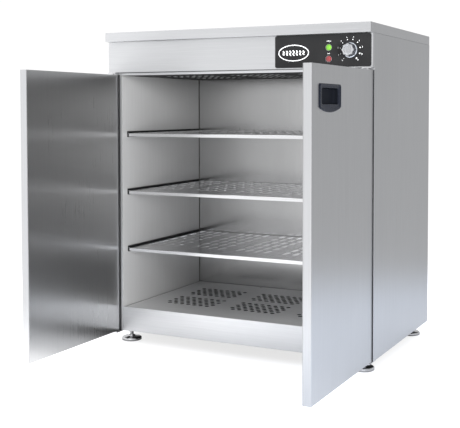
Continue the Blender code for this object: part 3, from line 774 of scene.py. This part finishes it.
def ray_reach(outline, angle):
    """How far a closed outline round the origin is, along an angle."""
    ray = Vector((cos(angle), sin(angle)))
    reach = 0.0
    for a, b in zip(outline, outline[1:] + outline[:1]):
        a, b = Vector(a), Vector(b)
        side_a, side_b = ray.cross(a), ray.cross(b)
        if side_a * side_b <= 0 and side_a != side_b:
            meet = a.lerp(b, side_a / (side_a - side_b))
            reach = max(reach, meet.dot(ray))
    return reach


def corner_arc(x, y, radius, start, steps=5):
    angles = [start + pi / 2 * i / steps for i in range(steps + 1)]
    return [(x + radius * cos(a), y + radius * sin(a)) for a in angles]


def top_corners(half, top, corner):
    points = corner_arc(half - corner, top - corner, corner, 0)
    return points + corner_arc(corner - half, top - corner, corner, pi / 2)


def pull_outline(half, top, low):
    """Straight top and sides, round top corners and a bowed lower edge."""
    points = top_corners(half, top, PULL_CORNER)
    for step in range(PULL_STEPS + 1):
        share = -cos(pi * step / PULL_STEPS)
        points.append((share * half, low - PULL_BOW * (1 - share * share)))
    return points


def cup_outline(half, top, low):
    points = top_corners(half, top, CUP_CORNER)
    points += corner_arc(CUP_CORNER - half, low + CUP_CORNER, CUP_CORNER, pi)
    points += corner_arc(half - CUP_CORNER, low + CUP_CORNER, CUP_CORNER, 3 * pi / 2)
    return points


def make_handles():
    """A recessed pull: a bead all round, a dished surround and a deep cup, lofted in rings."""
    navy = (0.0034, 0.0044, 0.0078)
    plastic = moulded("handle_plastic", navy, rough=0.24, grain=0.03, worn=0.04, gloss=0.14)
    # The cup's inside is darker and duller than the frame: painted shade in the recess.
    deep = moulded("handle_recess_painted_shade", (0.003, 0.0035, 0.005), rough=0.6, grain=0.05, worn=0.0, gloss=0.06)
    # Rings from the cup's middle, out over the bead, round the back and in again: share of the way
    # from the cup's edge to the outer edge, or of the cup's reach where negative, and height.
    rings = [(-0.30, -0.0112), (-0.72, -0.0114), (-0.90, -0.0108), (-0.96, -0.0094), (-0.985, -0.0060)]
    rings += [(-0.99, -0.0010), (0.0, 0.0006), (0.06, 0.0012), (0.30, 0.0010), (0.52, 0.0013)]
    rings += [(0.68, 0.0022), (0.80, 0.0027), (0.90, 0.0026), (0.96, 0.0019), (0.99, 0.0008), (1.0, 0.0)]
    rings += [(0.10, 0.0), (0.08, -0.0120), (-0.90, -CUP_BACK)]
    angles = around(PULL_SEGMENTS, 0.5)
    for side, out in SIDES.items():
        node = f"door_{side}_handle"
        low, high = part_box(node)
        mid_y = middle(node)[1]
        skin = max(abs(low.x), abs(high.x)) - PLATE_T  # the plate's back, on the door's skin
        cup_top, cup_low = high.z - CUP_TOP, high.z - CUP_LOW
        mid_z = (cup_top + cup_low) / 2
        outer = pull_outline((high.y - low.y) / 2, high.z - mid_z, low.z + PULL_BOW - mid_z)
        inner = cup_outline(CUP_HALF, cup_top - mid_z, cup_low - mid_z)
        reaches = [(a, ray_reach(inner, a), ray_reach(outer, a)) for a in angles]
        bm = bmesh.new()
        loops = []
        for share, height in rings:
            loop = []
            for angle, near, far in reaches:
                reach = near * -share if share < 0 else near + (far - near) * share
                y, z = mid_y + reach * cos(angle), mid_z + reach * sin(angle)
                loop.append(bm.verts.new((out * (skin + height), y, z)))
            loops.append(loop)
        front = bm.verts.new((out * (skin - CUP_FLOOR), mid_y, mid_z))
        back = bm.verts.new((out * (skin - CUP_BACK), mid_y, mid_z))
        join_rings(bm, [[front], *loops, [back]])
        pull = built(f"door_{side}_pull", bm, plastic, f"{side}_door", node, smooth=50)
        pull.data.materials.append(deep)
        for face in pull.data.polygons:
            if out * face.center.x < skin - CUP_SHADE:
                face.material_index = 1


# ---------------------------------------------------------------- controls


def flat_ink(name, look, loops, y):
    """Printed marks: closed loops of (x, z) points, a hair proud of the panel."""
    bm = bmesh.new()
    for loop in loops:
        near = [bm.verts.new((x, y - INK_T, z)) for x, z in loop]
        far = [bm.verts.new((x, y, z)) for x, z in loop]
        join_rings(bm, [far, near])
    built(name, bm, look, "cabinet")


def stroke(points, width):
    """The outline of a line of even width through points."""
    left, right = [], []
    for i, point in enumerate(points):
        before, after = Vector(points[max(i - 1, 0)]), Vector(points[min(i + 1, len(points) - 1)])
        along = (after - before).normalized()
        across = Vector((-along.y, along.x)) * width / 2
        left.append(tuple(Vector(point) + across))
        right.append(tuple(Vector(point) - across))
    return left + right[::-1]


def arc_points(x, z, radius_x, radius_z, start, end, steps=24):
    angles = [radians(start + (end - start) * i / steps) for i in range(steps + 1)]
    return [(x + radius_x * cos(a), z + radius_z * sin(a)) for a in angles]


def figure(text, x, z, height, y):
    """One number of the dial, as mesh."""
    curve = bpy.data.curves.new("figure", "FONT")
    curve.body = text
    curve.size = height
    curve.align_x, curve.align_y = "CENTER", "CENTER"
    curve.extrude = INK_T / 2
    curve.resolution_u = 3
    obj = linked("figure", curve)
    graph = bpy.context.evaluated_depsgraph_get()
    mesh = bpy.data.meshes.new_from_object(obj.evaluated_get(graph))
    mesh.transform(Matrix.Translation((x, y - INK_T / 2, z)) @ Matrix.Rotation(radians(90), 4, "X"))
    bpy.data.objects.remove(obj)
    return mesh


def make_dial(ink, face, knob_x, knob_z):
    """Ten marks round the knob, growing clockwise, with their numbers."""
    loops = []
    bm = bmesh.new()
    for i in range(MARKS):
        share = i / (MARKS - 1)
        angle = radians(90 + MARK_SWEEP / 2 - MARK_SWEEP * share)
        radius, height = (least + (most - least) * share for least, most in (MARK_R, NUMBER_H))
        x, z = knob_x + MARK_REACH * cos(angle), knob_z + MARK_REACH * sin(angle)
        loops.append(ring_of(x, z, radius, MARK_SEGMENTS))
        x, z = knob_x + NUMBER_REACH * cos(angle), knob_z + NUMBER_REACH * sin(angle)
        bm.from_mesh(figure(str(i), x, z, height, face))
    flat_ink("dial_marks", ink, loops, face)
    built("dial_numbers", bm, ink, "cabinet")


def make_badge(ink, face):
    """A plain emblem: an oval ring with rising heat in it."""
    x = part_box("control_panel")[0].x + BADGE_INSET
    z = middle("control_panel")[2] - BADGE_DROP
    halves = [arc_points(x, z, *BADGE_REACH, start, start + 180, 40) for start in (0, 180)]
    loops = [stroke(half, BADGE_LINE) for half in halves]
    for i in range(WAVES):
        from_middle = i - (WAVES - 1) / 2
        half = WAVE_HALF - WAVE_TAPER * abs(from_middle) / 2
        points = []
        for step in range(WAVE_STEPS + 1):
            share = 2 * step / WAVE_STEPS - 1
            sway = WAVE_SWAY * sin(pi * 1.5 * share)
            points.append((x + from_middle * WAVE_GAP + sway, z + half * share))
        loops.append(stroke(points, WAVE_LINE))
    flat_ink("badge", ink, loops, face)


def make_labels(ink, face):
    """A small switch sign over the green lamp and a small heat sign over the red one."""
    lamp_x, _, lamp_z = middle("lamp_green")
    z = lamp_z + SWITCH_SIGN_UP
    loops = [stroke(arc_points(lamp_x, z, 0.0016, 0.0016, 125, 415, 16), 0.0005)]
    loops.append(stroke([(lamp_x, z + 0.0004), (lamp_x, z + 0.0022)], 0.0005))
    for sign in (-1, 1):
        loops.append(stroke([(lamp_x + sign * 0.0030, z), (lamp_x + sign * 0.0058, z)], 0.0011))
    z = middle("lamp_red")[2] + HEAT_SIGN_UP
    for i in (-1, 0, 1):
        x = lamp_x + i * 0.0022
        points = [(x + 0.0005 * sin(pi * step / 4), z - 0.0014 + 0.0028 * step / 8) for step in range(9)]
        loops.append(stroke(points, 0.0007))
    flat_ink("lamp_signs", ink, loops, face)


def make_lamps(face):
    """Domed lenses in thin bright bezels."""
    bezel_look = polished("bezel_chrome", (0.55, 0.56, 0.58), 0.16)
    looks = {
        "lamp_green": glowing("lamp_green_lens", (0.10, 0.27, 0.018), 0.30),
        "lamp_red": glowing("lamp_red_lens", (0.17, 0.022, 0.024), 0.05),
    }
    for name, look in looks.items():
        x, _, z = middle(name)
        radius = half_width(name)
        lens = [(LENS_STEM_R, -LENS_STEM), (LENS_STEM_R, -0.0002)]
        lens += [(radius - 0.0009, -0.0002), (radius - 0.0009, 0.0016)]
        for step in range(LENS_STEPS):
            angle = pi / 2 * step / LENS_STEPS
            lens.append(((radius - 0.0012) * cos(angle), 0.0018 + 0.0030 * sin(angle)))
        lens.append((0.0, 0.0048))
        bm = turned(lens, Vector((x, face, z)), (0, -1, 0), LENS_SEGMENTS)
        built(name + "_lens", bm, look, "cabinet", name, smooth=40)
        ring = [(radius - 0.0008, 0.0), (radius, 0.0), (radius + 0.0001, 0.0006), (radius - 0.0002, 0.0011)]
        ring += [(radius - 0.0006, 0.0012), (radius - 0.0008, 0.0010)]
        bm = bmesh.new()
        rings = []
        for reach, along in ring:
            points = ring_of(x, z, reach, LENS_SEGMENTS)
            rings.append([bm.verts.new((u, face - along, v)) for u, v in points])
        join_hoop(bm, rings)
        built(name + "_bezel", bm, bezel_look, "cabinet", smooth=40)


def make_knob(knob_x, knob_z):
    """A fluted knob: dark sides, a silvered crown cut in facets, and a thin bright skirt."""
    side_look = moulded("knob_side", (0.020, 0.021, 0.026), rough=0.25, grain=0.03)
    crown_look = polished("knob_crown", (0.66, 0.67, 0.69), 0.22, patch=0.62, grain=260.0)
    skirt_look = polished("knob_skirt_chrome", (0.72, 0.76, 0.82), 0.24)
    radius = half_width("knob")
    tip, base = (corner.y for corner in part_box("knob"))

    def loop(bm, share, y, flute):
        points = []
        for angle in around(KNOB_LOBES * KNOB_STEPS):
            reach = share * radius * (1 - flute * (1 - cos(KNOB_LOBES * angle)) / 2)
            points.append(bm.verts.new((knob_x + reach * cos(angle), y, knob_z + reach * sin(angle))))
        return points

    bm = bmesh.new()
    rings = [(0.96, 0.0), (1.0, 0.0006), (0.99, 0.0070), (0.97, 0.0112), (0.93, 0.0120)]
    join_rings(bm, [loop(bm, share, base - along, KNOB_FLUTE) for share, along in rings])
    built("knob_body", bm, side_look, "control_knob", "knob", smooth=38)

    bm = bmesh.new()
    depth = base - tip
    rings = [(share, along, KNOB_FLUTE) for share, along in ((0.90, 0.0119), (0.945, 0.0122), (0.93, 0.0134))]
    rings += [(0.86, 0.0146, 0.12), (0.70, depth - 0.0004, 0.07), (0.60, depth, 0.04)]
    rings.append((0.52, depth - 0.0010, 0.02))
    loops = [loop(bm, share, base - along, flute) for share, along, flute in rings]
    middle = bm.verts.new((knob_x, tip + 0.0002, knob_z))
    join_rings(bm, [*loops, [middle]])
    built("knob_crown", bm, crown_look, "control_knob", smooth=16)

    low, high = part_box("knob_skirt")
    reach = half_width("knob_skirt")
    thick = high.y - low.y
    profile = [(reach - 0.0004, 0.0), (reach, 0.0005), (reach, 0.0010), (reach - 0.0004, 0.0016)]
    profile += [(reach - 0.0022, thick - 0.0002), (reach - 0.0027, thick - 0.0002), (reach - 0.0030, 0.0012)]
    profile += [(0.0034, 0.0012)]
    bm = turned(profile, Vector((knob_x, high.y, knob_z)), (0, -1, 0), 72)
    built("knob_ring", bm, skirt_look, "control_knob", "knob_skirt", smooth=40)


def make_controls():
    fold, rim = PANEL_EDGE
    softened("control_panel", "control_overlay", overlay("overlay_satin"), fold=fold, rim=rim)
    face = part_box("control_panel")[0].y
    ink = printed("panel_ink", INK)
    knob_x, _, knob_z = middle("knob_spindle")
    make_lamps(face)
    make_labels(ink, face)
    make_badge(ink, face)
    make_dial(ink, face, knob_x, knob_z)
    make_knob(knob_x, knob_z)


# ---------------------------------------------------------------- feet and back


def make_feet():
    """Bright screwed feet: a rolled rim, a dished top, a hexagon on the stem, and a lock nut."""
    bright = polished("foot_plate", (0.76, 0.76, 0.77), 0.14)
    thread_look = polished("foot_thread", (0.60, 0.60, 0.61), 0.22)
    fold, rim = NUT_EDGE
    for place, body in FEET.items():
        node = f"foot_{place}"
        x, y, _ = middle(node)
        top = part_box(node)[1].z
        reach = half_width(node)
        profile = [(reach - 0.0016, 0.0), (reach - 0.0005, 0.0005), (reach, 0.0016), (reach, 0.0058)]
        profile += [(reach - 0.0004, 0.0072), (reach - 0.0014, 0.0084), (reach - 0.0032, 0.0094)]
        profile += [(reach - 0.0070, 0.0100), (0.0110, 0.0106), (0.0094, 0.0112), (0.0088, 0.0126)]
        profile += [(0.0082, 0.0138), (0.0064, 0.0143)]
        along = THREAD_START
        while along < top - THREAD_PITCH:
            profile += [(THREAD_R, along), (THREAD_ROOT, along + THREAD_PITCH / 2)]
            along += THREAD_PITCH
        profile.append((THREAD_ROOT, top))
        bm = turned(profile, Vector((x, y, 0)), (0, 0, 1), FOOT_SEGMENTS)
        built(node + "_disc", bm, bright, body, node, smooth=38)
        softened(f"foot_nut_{place}", f"foot_nut_{place}_hex", thread_look, fold=fold, rim=rim)


def make_gland():
    """A cable gland: hexagon, ribbed clamping cap and an open bore."""
    plastic = moulded("gland_plastic", (0.02, 0.02, 0.022), rough=0.45)
    centre = Vector(middle("cable_gland"))
    centre.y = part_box("cable_gland")[1].y
    out = centre.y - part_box("back_panel")[1].y
    rings = [(0.0080, -GLAND_STEM, ""), (0.0080, -out, ""), (0.0128, -out, "hex")]
    rings += [(0.0128, 0.0055 - out, "hex"), (0.0104, 0.0060 - out, "ribs"), (0.0102, -0.0030, "ribs")]
    rings += [(0.0088, -0.0004, ""), (0.0082, 0.0, ""), (0.0048, 0.0, ""), (0.0046, -0.0008, "")]
    rings.append((0.0046, -GLAND_STEM, ""))
    bm = bmesh.new()
    loops = []
    for radius, along, kind in rings:
        loop = []
        for angle in around(GLAND_SEGMENTS):
            reach = radius
            if kind == "hex":
                reach = radius * cos(pi / 6) / cos((angle + pi / 6) % (pi / 3) - pi / 6)
            elif kind == "ribs":
                reach = radius * (1 + 0.02 * cos(GLAND_RIBS * angle))
            loop.append(bm.verts.new(centre + Vector((reach * cos(angle), along, reach * sin(angle)))))
        loops.append(loop)
    join_hoop(bm, loops)
    built("gland", bm, plastic, "cabinet", "cable_gland", smooth=30)


def cross_screw(bm, centre):
    """A low round screw head with a cross recess, facing +y."""
    arms = [0.40 if i % 6 in (0, 1, 5) else 0.16 for i in range(SCREW_SEGMENTS)]
    rings = [([share] * SCREW_SEGMENTS, height) for share, height in SCREW_HEAD]
    rings += [(arms, height) for height in SCREW_CROSS]
    loops = []
    for shares, height in rings:
        loop = []
        for share, angle in zip(shares, around(SCREW_SEGMENTS)):
            reach = share * SCREW_R
            loop.append(bm.verts.new(centre + Vector((reach * cos(angle), height, reach * sin(angle)))))
        loops.append(loop)
    join_rings(bm, loops)


def make_back_screws():
    """The screws that hold the back sheet to the folded sides."""
    low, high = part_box("back_panel")
    span = high.z - low.z - 2 * SCREW_END
    bm = bmesh.new()
    for x in (low.x + SCREW_INSET, high.x - SCREW_INSET):
        for i in range(SCREW_ROWS):
            z = low.z + SCREW_END + span * i / (SCREW_ROWS - 1)
            cross_screw(bm, Vector((x, high.y, z)))
    look = polished("screw_zinc", (0.62, 0.62, 0.60), 0.28)
    built("back_screws", bm, look, "cabinet", smooth=35)


# ---------------------------------------------------------------- carried-over CAD


def dress_cad():
    """Materials for the CAD nodes that are shown as they are."""
    lining = brushed("bracket_steel", "y", LINER, spread=0.5)
    mat = wool("mineral_wool")
    block = moulded("moulded_black", (0.03, 0.03, 0.032))
    looks = {
        # The shelf runners are painted near black: painted shade for the dark inside of their channels.
        "shelf_runner": moulded("runner_painted_shade", (0.004, 0.004, 0.0045), rough=0.55, worn=0.0),
        "insulation": mat,
        "door_left_core": mat,
        "door_right_core": mat,
        "worktop_core": moulded("worktop_board", (0.62, 0.58, 0.46), rough=0.7, worn=0.0),
        "heating_element": sheath("heater_sheath"),
        "element_bracket": lining,
        "thermostat": block,
        "door_magnet": block,
        "terminal_block": moulded("terminal_cream", (0.62, 0.58, 0.46)),
        "knob_spindle": polished("spindle_steel", rough=0.2),
    }
    for name, node in NODES.items():
        for start, look in looks.items():
            if name.startswith(start):
                node.data.materials[0] = look


# ---------------------------------------------------------------- studio


def make_camera():
    """A short telephoto a little above the middle shelf, to the right of the cabinet."""
    data = bpy.data.cameras.new("camera")
    data.sensor_width = SENSOR
    data.lens = LENS
    data.shift_x, data.shift_y = LENS_SHIFT
    data.clip_start, data.clip_end = 0.05, 60.0
    camera = linked("camera", data)
    camera.location = CAMERA_PLACE
    camera.rotation_euler = (radians(90 - CAMERA_DOWN), 0, radians(CAMERA_TURN))
    bpy.context.scene.camera = camera


def make_key():
    """A square softbox at the front right, which bare metal does not mirror."""
    data = bpy.data.lights.new("key", "AREA")
    data.size = KEY_SIZE
    data.energy = KEY_POWER
    light = linked("key", data)
    light.location = KEY_PLACE
    light.rotation_euler = (Vector(KEY_AIM) - Vector(KEY_PLACE)).to_track_quat("-Z", "Y").to_euler()
    light.visible_glossy = False


def make_room():
    """A room that is brightest at the front left and dimmer behind; the camera sees it plain white."""
    world = bpy.data.worlds.new("room")
    world.use_nodes = True
    graph = Graph(world.node_tree)
    direction = graph.node("TexCoord").outputs["Generated"]
    parts = graph.node("SeparateXYZ", {"Vector": direction}).outputs
    turn = graph.math("ARCTAN2", parts["X"], graph.math("MULTIPLY", parts["Y"], -1.0))
    ramp = graph.node("ValToRGB", {"Fac": graph.ranged(turn, 0.0, 1.0, (-pi, pi))})
    while len(ramp.color_ramp.elements) < len(ROOM_RAMP):
        ramp.color_ramp.elements.new(0.5)
    for stop, (angle, level) in zip(ramp.color_ramp.elements, ROOM_RAMP):
        stop.position = angle / 360 + 0.5
        stop.color = (level, level, level, 1)
    lift = graph.ranged(parts["Z"], ROOM_BELOW, 1.0, ROOM_EDGE, "SMOOTHSTEP")
    strength = graph.math("MULTIPLY", ramp.outputs["Color"], lift)
    lit = graph.node("Background", {"Color": ROOM_TINT, "Strength": strength}).outputs[0]
    seen = graph.node("Background", {"Color": (1, 1, 1, 1), "Strength": BACKDROP}).outputs[0]
    watched = graph.node("LightPath").outputs["Is Camera Ray"]
    mix = graph.node("MixShader", {0: watched, 1: lit, 2: seen})
    graph.feed(world.node_tree.nodes["World Output"].inputs["Surface"], mix.outputs[0])
    bpy.context.scene.world = world


def make_floor():
    """A white disc that fades out into the white room, shaded under the cabinet."""
    look = Look("studio_floor")
    grain = look.noise(30.0, detail=3.0)
    parts = look.node("SeparateXYZ", {"Vector": look.place}).outputs
    side = look.ranged(parts["X"], 0.0, 1.0, FLOOR_SIDES)
    pale = look.mixed(grain, (0.84, 0.84, 0.85), (0.86, 0.86, 0.87))
    seen = look.node("LightPath").outputs["Is Camera Ray"]
    low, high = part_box("base_pan")
    beyond_x = look.math("SUBTRACT", look.math("ABSOLUTE", parts["X"], 0.0), high.x)
    from_middle = look.math("SUBTRACT", parts["Y"], middle("base_pan")[1])
    beyond_y = look.math("SUBTRACT", look.math("ABSOLUTE", from_middle, 0.0), (high.y - low.y) / 2)
    clear = look.ranged(look.math("MAXIMUM", beyond_x, beyond_y), 0.0, 1.0, FLOOR_SHADE)
    tinted = look.mixed(side, pale, (0.64, 0.69, 0.78))
    look.set(base_color=look.mixed(clear, (0.2, 0.2, 0.2), tinted), roughness=0.8)
    ahead = look.ranged(parts["Y"], 1.0, 0.0, FLOOR_AHEAD[::-1])
    inside = look.ranged(parts["X"], 0.0, 1.0, FLOOR_ASIDE)
    extra = look.math("MULTIPLY", ahead, look.ranged(side, FLOOR_GLOW[0] - FLOOR_GLOW[1], 0.0))
    extra = look.math("MULTIPLY", extra, inside)
    glow = look.math("MULTIPLY", clear, look.math("ADD", extra, FLOOR_GLOW[1]))
    watched = look.ranged(seen, 0.0, FLOOR_SEEN, (0, 1))
    look.set(emission_color=(1, 1, 1, 1), emission_strength=look.math("MAXIMUM", glow, watched))
    reach = look.node("VectorMath", {0: look.place}, operation="LENGTH").outputs["Value"]
    look.set(alpha=look.ranged(reach, 1.0, 0.0, (FLOOR_R * 0.6, FLOOR_R)))
    bm = bmesh.new()
    bm.faces.new([bm.verts.new((x, y, 0)) for x, y in ring_of(0, 0, FLOOR_R, FLOOR_SEGMENTS)])
    floor = linked("studio_floor", mesh_from(bm, "studio_floor"))
    floor.data.materials.append(look.material)


def make_studio():
    bpy.context.scene.view_settings.view_transform = "Standard"
    make_room()
    make_floor()
    make_key()


def main():
    make_camera()
    make_carcass()
    make_lining()
    make_perforated()
    make_doors()
    make_seals()
    make_floor_bead()
    make_handles()
    make_controls()
    make_feet()
    make_gland()
    make_back_screws()
    dress_cad()
    make_studio()


main()
